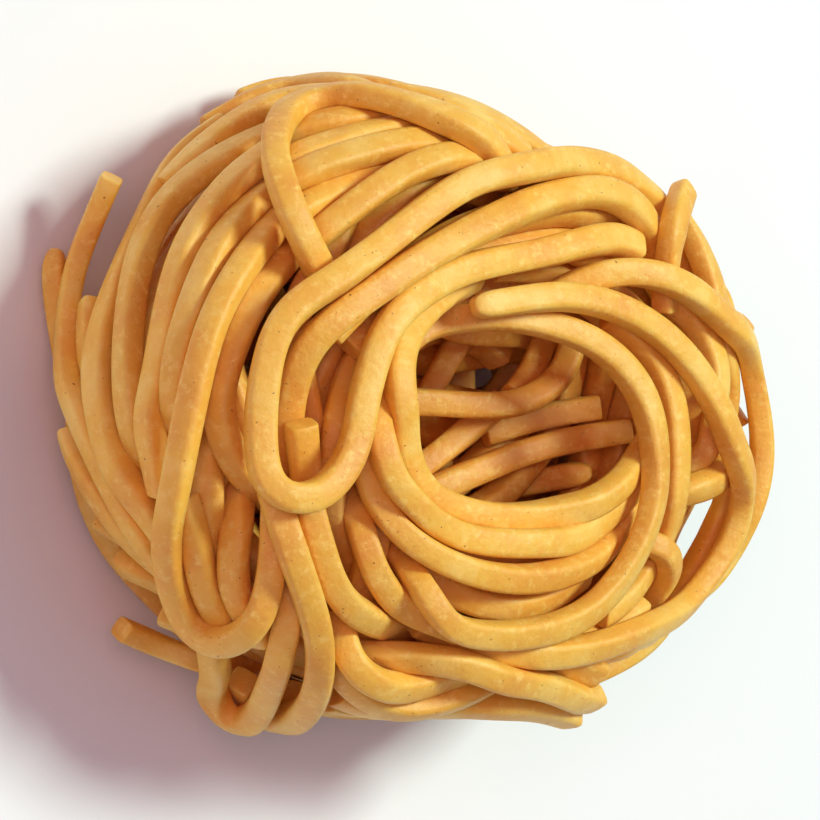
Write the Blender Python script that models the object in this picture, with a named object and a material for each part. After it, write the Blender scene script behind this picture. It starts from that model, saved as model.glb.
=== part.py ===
"""A dry pasta nest as one solid: a rounded core with a bowl, and the noodles that show fused on.

The nest lies flat with its eye up. Lengths are in millimetres until a mesh is made. A noodle's
route is a few points chosen by hand on the shown side: how far across and how far up the view they
lie, from the nest's middle, and how deep they lie below the nest's rounded form. The sides turned
away from the view and the underside are windings worked out by loops.
"""

import math

import bmesh
import bpy
from mathutils import Vector

MM = 0.001

# The nest's rounded form, on which the middle of an outermost noodle lies.
FORM_RADII = (34.5, 30.0)
FORM_HALF_HEIGHT = 16.0
FORM_POWER = 3.4
# Moves the finished nest so that its box is centred on the origin.
SHIFT = (-0.93, 0.0)

# Where the outline that the view shows is flatter than the form: the direction out of it, across
# and up the view, and how far out the middle of a noodle may lie.
OUTLINE_FLATS = ((0.375, 0.927, 25.6), (0.0, -1.0, 27.0), (-0.735, -0.678, 28.4))

# The shown side: the view comes from the left, this far round from straight above.
VIEW_TILT = math.radians(40)
VIEW_DISTANCE = 600.0
RIGHT = Vector((math.cos(VIEW_TILT), 0, math.sin(VIEW_TILT)))
UP = Vector((0, 1, 0))
TOWARD = Vector((-math.sin(VIEW_TILT), 0, math.cos(VIEW_TILT)))
MIDDLE = Vector((0, 0, FORM_HALF_HEIGHT))

NOODLE_WIDTH = 2.8
NOODLE_THICKNESS = 2.4
LONGEST_STRAIGHT = 9.0
SHARPEST_TURN = math.radians(24)

CORE_DEPTH = 2.0
CORE_ROUND = 28
CORE_RISE = 12
CORE_FLOOR = 0.9
BOWL_RADII = (20.2, 12.2, 16.2)
BOWL_MIDDLE = (5.0, -0.2, 28.5)
CUTTER_MARGIN = 60.0

PASTA_COLOUR = (0.80, 0.47, 0.13, 1.0)
PASTA_ROUGHNESS = 0.62

# Outer wall at the left of the view, outermost first.
WALL = {
    "free_end": [(-27, 21.6, -2), (-28.4, 18.4, 0), (-30.8, 12, 1.5), (-31.4, 5, 1.5),
                 (-31, 1.5, 1.5), (-24.6, -11.6, 2), (-19.5, -17.6, 6)],
    "short_end": [(-32.2, 15.2, 4), (-32.6, 12.5, 4), (-31.6, 5, 5), (-31, 1, 6)],
    "first": [(-19.8, 23.8, 4), (-22.6, 20.4, 3), (-28.6, 4.5, 2.2), (-27.3, -3.2, 2.2),
              (-23.6, -9.4, 3)],
    "second": [(-10.5, 25.8, 4.4), (-16.8, 23, 1.8), (-22, 19, 1.4), (-25, 12.6, 1.4),
               (-25.5, -3, 1.5), (-21.8, -13, 4.5)],
    "third": [(-12, 23.6, 5), (-17.3, 19.3, 2.4), (-20.9, 13.6, 1.6), (-23.2, -1, 2),
              (-22.4, -8.5, 4.4)],
    "fourth": [(-11.5, 20.6, 5), (-14.2, 18.8, 3.6), (-18.3, 13.4, 1.6), (-21.7, 3, 1.6),
               (-21.8, -8.5, 5)],
    "fifth": [(-8.5, 17, 6), (-14.6, 9.3, 1.7), (-17.7, 0.2, 2), (-16, -5, 3.4), (-11, -9.6, 6.5)],
    "hairpin": [(-9.8, 19.4, 6), (-14.7, 13.8, 1.9), (-18, 8, 1), (-21.3, -6.2, 0.2),
                (-22.1, -13.6, 0), (-20, -19.8, 0), (-17.8, -21.3, 0.2), (-13.9, -19.2, 1.4),
                (-12.6, -13.6, 3.2), (-12.6, -6.5, 6)],
    "in_hairpin": [(-21.2, -7.4, 4.4), (-20.2, -10.6, 3.4), (-18.7, -16.6, 3),
                   (-15.4, -21.8, 4.2)],
    "low_winding": [(-31.4, -1.3, 3), (-31, -3.4, 3), (-26, -11.2, 3), (-21, -16, 6)],
    "upper_left_end": [(-29.2, -9.7, 3.4), (-27.2, -10.9, 4.6), (-21.5, -15, 8)],
    "lower_end": [(-27.6, -13.4, 2.5), (-25.4, -14.3, 3.6), (-19, -17.2, 7)],
    "lowest_end": [(-26.8, -20.1, 1), (-24, -20.9, 3), (-21.3, -21.8, 5), (-18, -22.6, 7)],
}
# Loop over the upper left, what shows inside it, and the upper outline.
CROWN = {
    "loop": [(-7.4, 10.6, 4.2), (-8.6, 13, 1.4), (-11.3, 18.9, -1.4), (-12.5, 24.2, -1.3),
             (-9.4, 27.8, -0.6), (-3, 28.1, 0.5), (6, 24.3, 0.9), (8.8, 20, 5)],
    "in_loop_upper": [(-12.3, 21.6, 4), (-11, 22.5, 2.8), (-1.2, 25.5, 2.4), (5, 25, 5)],
    "in_loop_middle": [(-12.2, 19.6, 4.4), (-11, 20.6, 3), (-1.6, 23.9, 2), (4.6, 24.1, 3.6),
                       (7, 22.8, 5.5)],
    "in_loop_lower": [(-10, 14.8, 4.8), (-9, 15.6, 3.2), (-0.9, 21.3, 1.6), (4.8, 23.2, 2.6),
                      (7, 22.2, 4.4)],
    "outline_left": [(-22.6, 19.6, 4.5), (-20.3, 22.3, 2.5), (-14.8, 26.5, 1.6),
                     (-11.3, 28, 2.5), (-3.5, 28.2, 4.2)],
    "outline_right": [(-3, 28.3, 5), (3.8, 27, 3), (9.8, 24.2, 2.8), (14.5, 20.4, 6)],
}
# Broad band from the upper right, with its hairpin, and the rings of the eye.
RINGS = {
    "band": [(22.8, 18.4, 3.2), (17.4, 21.7, 1.4), (5.8, 20.7, 0.9), (-5.2, 12.7, 0.4),
             (-12.2, 7.2, 0), (-12.9, -7.4, 0), (-8.5, -8.2, 0), (-5.3, -4.2, 0.3),
             (-4.1, 2, 0.6), (-1.9, 7.9, 1.4), (3.6, 12.2, 2.6), (11.6, 14, 3.4),
             (18.4, 15.4, 5), (20.8, 14.4, 6.5)],
    "second_band": [(21.8, 13.6, 6), (21.5, 16.2, 3.6), (18.2, 19.5, 2), (12.6, 19.2, 1.8),
                    (-5.2, 9.4, 1.6), (-9.7, 5.1, 3), (-11.4, -1, 5)],
    "cut_end": [(-10.2, -0.7, 3.4), (-9.8, -5, 3.6), (-9.4, -9.2, 5.2)],
    "rounded_tip": [(4.9, 9.1, 2.2), (14.8, 10.1, 1), (21.5, 7.6, 1), (26.4, 2.4, 1),
                    (29.8, -7.8, 1), (29.3, -11.2, 1), (25.4, -17.2, 1.2), (22.2, -19.5, 1.2),
                    (10, -22.6, 1.7), (-0.6, -19.4, 5)],
    "upper_ring": [(-1.2, 5.2, 6), (1, 7.4, 5), (10.8, 7.9, 3.8), (17.2, 5.6, 2),
                   (21.2, 0.6, 0.8), (21.9, -9.2, 0.5), (16.8, -17.9, 0.5), (10, -20.6, 0.5),
                   (3.9, -19.7, 1), (0.3, -15.9, 2), (-4.2, -9.2, 6)],
    "falling_ring": [(17, 8.6, 5), (19.8, 7.1, 3.6), (23.2, 2.2, 2.4), (23.2, -10.6, 3),
                     (19.6, -17, 3.6), (16.4, -19.4, 4)],
    "eye_edge": [(6, 12.4, 6), (0.9, 9.2, 2.8), (-1.5, 4, 1.8), (0.7, -7.2, 2),
                 (12.8, -10.1, 2.8), (18.3, -7.6, 3), (20.9, -4.4, 4.6), (22.6, -0.6, 6.6)],
    "eye_second": [(-2.2, 4.6, 4.5), (-2.9, -1.8, 2.2), (-0.8, -7.9, 1.6), (4.4, -11.7, 1.7),
                   (15.2, -11.2, 2), (20.2, -7, 3.4), (21.6, -4, 5)],
    "eye_third": [(-3.4, 1.6, 4.6), (-4.1, -4.8, 1.8), (-1.3, -10.7, 0.7), (4.5, -14.6, 0.6),
                  (11.6, -15.5, 0.9), (17.4, -13, 1.8), (20.9, -7.4, 4.4)],
    "behind_band": [(-5.6, 8.4, 5.5), (-9, 2.4, 5.8), (-9.8, -5, 6.2)],
    "right_outline": [(22.6, 19.2, 5), (24.6, 16.9, 3.6), (27.3, 10.8, 3), (28.4, 1, 4),
                      (26.8, -6, 5)],
    "hook": [(19.8, -11.9, 4.2), (21.6, -12, 3), (23, -12.8, 2.4), (23.5, -14.2, 2.4),
             (22.8, -16.2, 3.4), (20.8, -18.8, 5.4), (18, -20.6, 6.6)],
    "right_handle": [(12, 9.8, 6), (17.4, 12.2, 2.6), (23.4, 11.7, 1.4), (28.6, 7.5, 1.2),
                     (30.4, 4.5, 1.4), (31.7, -5.4, 2), (27.8, -14.6, 3.6), (25, -17.4, 4)],
    "upright_end": [(24.7, 20.2, 0), (23.4, 16, 1.4), (22.8, 8, 5)],
    "right_bar": [(22.4, -8.2, 4.5), (27, -6.7, 3.6), (29, -5.4, 3.6)],
}
# Bottom of the view.
LOWER = {
    "right_hairpin": [(-12.8, -6.6, 5), (-11.2, -12, 1), (-8.3, -21.4, 0.8), (-9, -26.7, 1.6),
                      (-13.1, -28.2, 3.4), (-15, -27, 5)],
    "left_hairpin": [(-19.6, -12.8, 5.5), (-19, -16.4, 4.6), (-17.8, -23.4, 3),
                     (-17.7, -26, 2.4), (-16.8, -28.4, 2), (-15.2, -28.6, 1.6),
                     (-11.9, -22, 1.7), (-10.8, -16.2, 3), (-11.4, -9.6, 5)],
    "bar": [(-9.8, -6.8, 5), (-9.2, -9.6, 2.6), (-6, -18, 1.4), (3.6, -20.6, 5)],
    "under_rings": [(-5.4, -8.8, 5), (-3.2, -15.2, 3.2), (-1.2, -17.6, 2.9), (4.6, -20.4, 4)],
    "upper_cup": [(-6.4, -18, 4.8), (-6, -22.6, 2.2), (-2.4, -25.3, 1.8), (5.6, -23.6, 4.2)],
    "lower_cup": [(-7, -22.2, 5), (-6, -24.4, 3.6), (-1.3, -27.3, 2.6), (6.8, -25.1, 3.4)],
    "cut_bar": [(-4, -22.7, 4.4), (3.2, -23, 2.8), (13.8, -25.6, 2.2), (16.6, -26.4, 2)],
    "lowest_bar": [(-3.6, -27.2, 5), (4.4, -26.9, 4.6), (11.6, -27.2, 3), (15, -28, 2.4)],
}
# Noodles that cross the floor of the bowl.
FLOOR = {
    "bent": [(-4, 0.4, 20), (0, 0.6, 19), (9.8, 0.5, 17.6), (13.8, 3.3, 17), (15, 8.2, 17.4)],
    "square_end": [(6, -2.4, 21.5), (12.6, -0.6, 19.6), (17.7, 0.2, 17)],
    "long_end": [(0.6, -7.9, 20.5), (12, -3.5, 18.4), (20.4, -1.9, 15.4)],
    "tip": [(8, -7.2, 22.6), (11.4, -6.6, 21.4), (17, -5.7, 16)],
    "slanting": [(-1, -6.8, 21.5), (3.4, -3.4, 21.5), (8.4, 0.6, 22.4)],
    "steep": [(0.6, -0.6, 24), (2.4, 3, 23.6), (6, 9, 23)],
    "upper": [(0.4, 9, 22), (3.6, 7.2, 21.6), (11.4, 6.6, 22)],
}

# Windings round the sides turned away: height, first and last angle in degrees, rise and phase.
AWAY_WINDINGS = (
    (4.4, -124, 136, 1.2, 0.0),
    (7.6, -116, 128, -1.6, 1.9),
    (10.8, -112, 118, 2.2, 3.1),
    (14.2, -108, 112, -2.4, 0.7),
    (17.6, -104, 104, 2.0, 2.4),
    (21.0, -92, 98, -2.0, 1.2),
    (24.4, -84, 92, 1.4, 2.9),
    (27.4, -64, 84, -0.8, 0.4),
)
WINDING_STEP = 12
WINDING_DEPTHS = (0.2, 1.5)
# Loops of the underside: share of the outline's size, first and last angle in degrees.
UNDERSIDE_LOOPS = ((0.18, 0, 300), (0.32, 90, 430), (0.46, 200, 545), (0.60, 20, 372),
                   (0.75, 150, 480), (0.87, 160, 300))
UNDERSIDE_HEIGHT = 1.0
UNDERSIDE_WANDER = 0.035


def form_value(place):
    """Below one inside the rounded form, and one on it."""
    around = (place.x / FORM_RADII[0]) ** 2 + (place.y / FORM_RADII[1]) ** 2
    rise = abs(place.z / FORM_HALF_HEIGHT - 1)
    return around ** (FORM_POWER / 2) + rise ** FORM_POWER


def form_radius(angle, height, depth=0.0):
    """How far the form, less depth, reaches from its axis at an angle and a height."""
    half = FORM_HALF_HEIGHT - depth
    rise = min(1.0, abs(height - FORM_HALF_HEIGHT) / half)
    share = (1 - rise ** FORM_POWER) ** (1 / FORM_POWER)
    across = math.cos(angle) / (FORM_RADII[0] - depth)
    along = math.sin(angle) / (FORM_RADII[1] - depth)
    return share / math.hypot(across, along)


def underside_height(share):
    """The form's height where it has narrowed to this share of its outline."""
    return FORM_HALF_HEIGHT * (1 - (1 - min(share, 0.99) ** FORM_POWER) ** (1 / FORM_POWER))


def seen_place(across, up, depth):
    """The place at this spot of the view, depth below the form or below its widest edge."""
    def at(nearness):
        shrink = 1 - nearness / VIEW_DISTANCE
        return MIDDLE + RIGHT * across * shrink + UP * up * shrink + TOWARD * nearness

    steps = [0.5 * step for step in range(80, -81, -1)]
    inside = next((near for near in steps if form_value(at(near)) < 1), None)
    nearest = inside if inside is not None else min(steps, key=lambda near: form_value(at(near)))
    return at(nearest - depth)


def drawn_in(place, depth=0.0):
    """The place, drawn in across the view to the flats of the outline, less depth."""
    local = place - MIDDLE
    for across, up, limit in OUTLINE_FLATS:
        over = across * local.dot(RIGHT) + up * local.dot(UP) - limit + depth
        if over > 0:
            local -= (RIGHT * across + UP * up) * over
    return MIDDLE + local


def smooth_curve(corners):
    """A centripetal Catmull-Rom curve through the corners, with a place about every 0.6 mm."""
    ends = [2 * corners[0] - corners[1], *corners, 2 * corners[-1] - corners[-2]]
    places = []
    for before, start, end, after in zip(ends, ends[1:], ends[2:], ends[3:]):
        knots = [0.0]
        for one, other in ((before, start), (start, end), (end, after)):
            knots.append(knots[-1] + math.sqrt((other - one).length))
        count = max(1, round((end - start).length / 0.6))
        for step in range(count):
            at = knots[1] + (knots[2] - knots[1]) * step / count
            row = [before, start, end, after]
            for span in (1, 2, 3):
                for i in range(4 - span):
                    left, right = (i, i + span) if span < 3 else (1, 2)
                    share = (at - knots[left]) / (knots[right] - knots[left])
                    row[i] = row[i].lerp(row[i + 1], share)
            places.append(row[0])
    return places + [corners[-1]]


def fewest_stations(places):
    """Leaves out places until a straight is long or has turned enough."""
    kept = [0]
    for i in range(1, len(places) - 1):
        run = places[i] - places[kept[-1]]
        first = places[kept[-1] + 1] - places[kept[-1]]
        turned = first.angle(places[i + 1] - places[i], 0.0)
        if run.length > LONGEST_STRAIGHT or turned > SHARPEST_TURN:
            kept.append(i)
    if (places[-1] - places[kept[-1]]).length < NOODLE_WIDTH / 2 and len(kept) > 1:
        kept.pop()
    return [places[i] for i in [*kept, len(places) - 1]]


def outward(place):
    """The direction out of the form at a place, rounded off towards its middle."""
    out = Vector((place.x / FORM_RADII[0] ** 2, place.y / FORM_RADII[1] ** 2, 0))
    rise = (place.z - FORM_HALF_HEIGHT) / FORM_HALF_HEIGHT
    out.z = math.copysign(abs(rise) ** (FORM_POWER - 1), rise) / FORM_HALF_HEIGHT
    return (out + TOWARD * 0.002).normalized()


def mesh_object(name, outline, collection, material):
    """An object of the bmesh, which is in millimetres, in a collection."""
    bmesh.ops.scale(outline, vec=(MM, MM, MM), verts=outline.verts)
    bmesh.ops.recalc_face_normals(outline, faces=outline.faces)
    mesh = bpy.data.meshes.new(name)
    outline.to_mesh(mesh)
    outline.free()
    mesh.materials.append(material)
    made = bpy.data.objects.new(name, mesh)
    collection.objects.link(made)
    return made


def noodle(name, places, collection, material):
    """A strip of square-cut noodle along the places, flat side out."""
    outline = bmesh.new()
    rings = []
    for i, place in enumerate(places):
        ahead = places[min(i + 1, len(places) - 1)] - places[max(i - 1, 0)]
        side = ahead.cross(outward(place)).normalized() * NOODLE_WIDTH / 2
        lift = side.cross(ahead).normalized() * NOODLE_THICKNESS / 2
        corners = (side + lift, lift - side, -side - lift, side - lift)
        rings.append([outline.verts.new(place + corner) for corner in corners])
    for ring, following in zip(rings, rings[1:]):
        for i in range(4):
            j = (i + 1) % 4
            outline.faces.new((ring[i], ring[j], following[j], following[i]))
    outline.faces.new(rings[0][::-1])
    outline.faces.new(rings[-1])
    return mesh_object(name, outline, collection, material)


def core(material):
    """The rounded body under the noodles, with the bowl cut out of its top."""
    outline = bmesh.new()
    top = 2 * FORM_HALF_HEIGHT - CORE_DEPTH
    rings = []
    for row in range(CORE_RISE + 1):
        slope = math.pi * (row - CORE_RISE / 2) / (CORE_RISE + 1)
        height = FORM_HALF_HEIGHT + (FORM_HALF_HEIGHT - CORE_DEPTH) * math.sin(slope)
        height = min(max(height, CORE_DEPTH + 0.1), top - 0.1)
        ring = []
        for column in range(CORE_ROUND):
            angle = math.tau * column / CORE_ROUND
            reach = form_radius(angle, height, CORE_DEPTH)
            low = CORE_FLOOR if row == 0 else height
            place = Vector((reach * math.cos(angle), reach * math.sin(angle), low))
            ring.append(outline.verts.new(drawn_in(place, CORE_DEPTH)))
        rings.append(ring)
    for ring, following in zip(rings, rings[1:]):
        for i in range(CORE_ROUND):
            j = (i + 1) % CORE_ROUND
            outline.faces.new((ring[i], ring[j], following[j], following[i]))
    outline.faces.new(rings[0][::-1])
    outline.faces.new(rings[-1])
    body = mesh_object("pasta_nest", outline, bpy.context.scene.collection, material)

    hollow = bmesh.new()
    bmesh.ops.create_uvsphere(hollow, u_segments=20, v_segments=12, radius=1)
    bmesh.ops.scale(hollow, vec=BOWL_RADII, verts=hollow.verts)
    bmesh.ops.translate(hollow, vec=BOWL_MIDDLE, verts=hollow.verts)
    cut_away(body, mesh_object("bowl_cutter", hollow, bpy.context.scene.collection, material))
    return body


def apply_boolean(body, **settings):
    """Adds a Boolean with these settings to the body and applies it."""
    joint = body.modifiers.new("join", "BOOLEAN")
    for key, value in settings.items():
        setattr(joint, key, value)
    bpy.context.view_layer.objects.active = body
    bpy.ops.object.modifier_apply(modifier=joint.name)


def cut_away(body, cutter):
    """Takes the cutter out of the body, then removes the cutter."""
    apply_boolean(body, operation="DIFFERENCE", object=cutter, solver="MANIFOLD")
    bpy.data.objects.remove(cutter, do_unlink=True)


def seen_noodles(collection, material):
    """The noodles of the shown side."""
    for group, routes in (("wall", WALL), ("crown", CROWN), ("rings", RINGS), ("lower", LOWER),
                          ("floor", FLOOR)):
        for name, route in routes.items():
            places = fewest_stations(smooth_curve([seen_place(*point) for point in route]))
            noodle(f"{group}_{name}", places, collection, material)


def away_windings(collection, material):
    """The windings round the sides turned away from the view."""
    near, far = WINDING_DEPTHS
    for number, (height, first, last, rise, phase) in enumerate(AWAY_WINDINGS):
        places = []
        for degrees in range(first, last + 1, WINDING_STEP):
            angle = math.radians(degrees)
            level = height + rise * math.sin(2 * angle + phase)
            depth = near + (far - near) * math.cos(2 * angle + 2 * phase) ** 2
            reach = form_radius(angle, level, depth)
            place = Vector((reach * math.cos(angle), reach * math.sin(angle), level))
            places.append(drawn_in(place))
        noodle(f"away_{number}", places, collection, material)


def underside_loops(collection, material):
    """The loops under the nest, the inner ones low enough that the floor cuts them flat."""
    for number, (size, first, last) in enumerate(UNDERSIDE_LOOPS):
        places = []
        for degrees in range(first, last + 1, 2 * WINDING_STEP if size < 0.4 else WINDING_STEP):
            angle = math.radians(degrees)
            share = size + UNDERSIDE_WANDER * math.sin(2 * angle + number)
            level = max(UNDERSIDE_HEIGHT, underside_height(share))
            places.append(Vector((FORM_RADII[0] * share * math.cos(angle),
                                  FORM_RADII[1] * share * math.sin(angle), level)))
        noodle(f"underside_{number}", places, collection, material)


def keep_largest_piece(body):
    """Drops loose scraps and the walls of sealed hollows, which are separate sheets of the mesh."""
    sheets = bmesh.new()
    sheets.from_mesh(body.data)
    left = set(sheets.verts)
    pieces = []
    while left:
        piece, edge = set(), [left.pop()]
        while edge:
            vertex = edge.pop()
            piece.add(vertex)
            near = {link.other_vert(vertex) for link in vertex.link_edges} & left
            left -= near
            edge.extend(near)
        pieces.append(piece)
    largest = max(pieces, key=len)
    extra = [vertex for piece in pieces if piece is not largest for vertex in piece]
    bmesh.ops.delete(sheets, geom=extra, context="VERTS")
    sheets.to_mesh(body.data)
    sheets.free()


def rest_flat(body, material):
    """Cuts off what reaches below the floor."""
    block = bmesh.new()
    bmesh.ops.create_cube(block, size=2 * CUTTER_MARGIN)
    bmesh.ops.translate(block, vec=(0, 0, -CUTTER_MARGIN), verts=block.verts)
    cut_away(body, mesh_object("floor_cutter", block, bpy.context.scene.collection, material))


def pasta_material():
    """Matt golden yellow."""
    material = bpy.data.materials.new("pasta")
    material.use_nodes = True
    shader = material.node_tree.nodes["Principled BSDF"]
    shader.inputs["Base Color"].default_value = PASTA_COLOUR
    shader.inputs["Roughness"].default_value = PASTA_ROUGHNESS
    shader.inputs["Metallic"].default_value = 0.0
    return material


def main():
    for old in list(bpy.data.objects):
        bpy.data.objects.remove(old, do_unlink=True)
    pasta = pasta_material()
    nest = core(pasta)
    noodles = bpy.data.collections.new("noodles")
    bpy.context.scene.collection.children.link(noodles)
    seen_noodles(noodles, pasta)
    away_windings(noodles, pasta)
    underside_loops(noodles, pasta)
    apply_boolean(nest, operation="UNION", operand_type="COLLECTION", collection=noodles,
                  solver="MANIFOLD")
    for piece in list(noodles.objects):
        bpy.data.objects.remove(piece, do_unlink=True)
    bpy.data.collections.remove(noodles)
    rest_flat(nest, pasta)
    keep_largest_piece(nest)
    nest.data.transform(nest.matrix_world.Translation((SHIFT[0] * MM, SHIFT[1] * MM, 0)))
    nest.data.set_sharp_from_angle(angle=math.radians(35))


main()
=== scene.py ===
"""Looks of a dry pasta nest: real noodles, wound, crossed and pressed clear of each other.

Lengths are in millimetres until a mesh is made. The nest lies flat with its eye up, and the view
comes from its left and above. A route on the shown side is a few given points: how far
across and how far up the view, from the nest's middle, and how deep below the nest's rounded form.
Every other winding is worked out by a loop. All noodles are then settled: pushed apart until they
only touch, while each stays as near its own route as the others allow.
"""

import logging
import math
from dataclasses import dataclass, field
from enum import Enum

import bpy
import numpy as np
from mathutils import Matrix, Vector


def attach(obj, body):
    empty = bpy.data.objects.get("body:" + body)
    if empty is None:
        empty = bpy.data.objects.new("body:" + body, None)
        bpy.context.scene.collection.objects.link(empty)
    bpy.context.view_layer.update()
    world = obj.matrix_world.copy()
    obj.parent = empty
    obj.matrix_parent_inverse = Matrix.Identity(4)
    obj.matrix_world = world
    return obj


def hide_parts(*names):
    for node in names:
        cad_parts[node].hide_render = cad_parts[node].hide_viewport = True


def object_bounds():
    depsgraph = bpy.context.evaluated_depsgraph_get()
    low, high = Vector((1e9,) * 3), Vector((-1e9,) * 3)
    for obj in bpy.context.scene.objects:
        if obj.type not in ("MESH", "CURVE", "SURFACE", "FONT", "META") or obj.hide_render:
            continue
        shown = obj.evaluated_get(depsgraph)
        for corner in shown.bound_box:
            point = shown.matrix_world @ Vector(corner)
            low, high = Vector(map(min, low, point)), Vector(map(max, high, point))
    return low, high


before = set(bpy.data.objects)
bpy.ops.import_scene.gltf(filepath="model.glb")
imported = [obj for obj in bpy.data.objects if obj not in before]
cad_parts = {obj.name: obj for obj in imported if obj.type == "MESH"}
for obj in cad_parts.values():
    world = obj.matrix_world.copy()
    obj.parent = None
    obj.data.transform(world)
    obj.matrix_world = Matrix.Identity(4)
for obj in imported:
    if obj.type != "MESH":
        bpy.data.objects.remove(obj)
CAD_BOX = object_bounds()

LOG = logging.getLogger("pasta_nest")
MM = 0.001
TINY = 1e-6
SIDES = 8
NODE = "pasta_nest"
BODY = "root"

Triple = tuple[float, float, float]
Waypoint = Triple
Settled = list[tuple[np.ndarray, np.ndarray]]


class End(Enum):
    """How a noodle ends."""

    CUT = "cut"
    ROUND = "round"


class Facing(Enum):
    """Which way a noodle's flat side faces."""

    OUT = "out of the form"
    VIEW = "to the view"


class Layer(Enum):
    """Where a noodle lies in the nest, named as the piece that it becomes."""

    SHOWN = "shown_noodles"
    OUTER = "outer_windings"
    INNER = "inner_windings"


@dataclass(frozen=True)
class NestForm:
    """The nest's rounded form, on which the middle of an outermost noodle lies."""

    radii: tuple[float, float] = (34.5, 30.0)
    half_height: float = 16.0
    power: float = 3.4
    shift: tuple[float, float] = (-0.93, 0.0)
    widest_share: float = 0.99
    upward_lean: float = 0.0008

    def value(self, places: np.ndarray) -> np.ndarray:
        """Tells inside from outside.

        Args:
            places: One place a row.

        Returns:
            Below one inside the form, and one on it.
        """
        around = (places[..., 0] / self.radii[0]) ** 2 + (places[..., 1] / self.radii[1]) ** 2
        rise = np.abs(places[..., 2] / self.half_height - 1)
        return around ** (self.power / 2) + rise ** self.power

    def radius(self, angles: np.ndarray, heights: np.ndarray,
               depths: np.ndarray | float) -> np.ndarray:
        """How far the form, less a depth, reaches from its axis.

        Args:
            angles: Angles round the axis.
            heights: Heights above the floor.
            depths: How far below the form.

        Returns:
            The reach at each angle.
        """
        rise = np.minimum(1.0, np.abs(heights - self.half_height) / (self.half_height - depths))
        share = (1 - rise**self.power) ** (1 / self.power)
        across = np.cos(angles) / (self.radii[0] - depths)
        along = np.sin(angles) / (self.radii[1] - depths)
        return share / np.hypot(across, along)

    def low_height(self, shares: np.ndarray) -> np.ndarray:
        """The form's height where it has narrowed to these shares of its outline."""
        inner = 1 - np.minimum(shares, self.widest_share) ** self.power
        return self.half_height * (1 - inner ** (1 / self.power))

    def outward(self, places: np.ndarray) -> np.ndarray:
        """The direction out of the form.

        Args:
            places: One place a row.

        Returns:
            A unit direction for each.
        """
        out = np.empty_like(places)
        out[:, 0] = places[:, 0] / self.radii[0] ** 2
        out[:, 1] = places[:, 1] / self.radii[1] ** 2
        rise = (places[:, 2] - self.half_height) / self.half_height
        steep = np.sign(rise) * np.abs(rise) ** (self.power - 1)
        out[:, 2] = steep / self.half_height + self.upward_lean
        return out / np.linalg.norm(out, axis=1, keepdims=True)

    def depth(self, places: np.ndarray) -> np.ndarray:
        """How far below the form places lie, measured towards its middle.

        Args:
            places: One place a row.

        Returns:
            A depth for each, below nought outside the form.
        """
        length = np.linalg.norm(places - (0.0, 0.0, self.half_height), axis=1) + TINY
        return length / (self.value(places) + TINY) ** (1 / self.power) - length


@dataclass(frozen=True)
class View:
    """Where the shown side is seen from, and how places in that view become places in space."""

    form: NestForm
    tilt: float = math.radians(40)
    distance: float = 600.0
    aim: tuple[float, float] = (-0.18, -0.18)
    pixels_per_mm: float = 11.0
    frame_pixels: float = 820.0
    sensor: float = 36.0
    search_reach: float = 40.0
    search_step: float = 0.5

    @property
    def axes(self) -> np.ndarray:
        """Right, up and towards the camera, one a row."""
        c, s = math.cos(self.tilt), math.sin(self.tilt)
        return np.array([(c, 0.0, s), (0.0, 1.0, 0.0), (-s, 0.0, c)])

    @property
    def middle(self) -> np.ndarray:
        """The nest's middle."""
        return np.array([0.0, 0.0, self.form.half_height])

    def spot(self, across: float, up: float, nearness: np.ndarray) -> np.ndarray:
        """Places that show at one spot of the view.

        Args:
            across: Across the view, at the nest's middle.
            up: Up the view, at the nest's middle.
            nearness: How far towards the camera each place lies.

        Returns:
            One place a row.
        """
        shrink = (1 - nearness / self.distance)[:, None]
        right, above, toward = self.axes
        return self.middle + shrink * (across * right + up * above) + nearness[:, None] * toward

    def place(self, waypoint: Waypoint) -> np.ndarray:
        """The place at a spot of the view, at a depth below the form.

        Args:
            waypoint: Across, up and depth.

        Returns:
            The place.
        """
        across, up, depth = waypoint
        step = self.search_step
        near = np.arange(self.search_reach, -self.search_reach - step, -step)
        values = self.form.value(self.spot(across, up, near))
        inside = np.flatnonzero(values < 1)
        first = inside[0] if len(inside) else int(values.argmin())
        return self.spot(across, up, near[first : first + 1] - depth)[0]

    def seen(self, places: np.ndarray) -> np.ndarray:
        """Where places show in the view.

        Args:
            places: One place a row.

        Returns:
            Across, up and nearness, with across and up as seen at the nest's middle.
        """
        local = (places - self.middle) @ self.axes.T
        local[:, :2] /= (1 - local[:, 2] / self.distance)[:, None]
        return local


@dataclass
class Noodle:
    """One noodle: the middle line it is meant to follow, and how it is cut."""

    name: str
    line: np.ndarray
    layer: Layer = Layer.SHOWN
    width: float = 2.7
    first_end: End = End.CUT
    last_end: End = End.CUT
    facing: Facing = Facing.OUT


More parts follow.
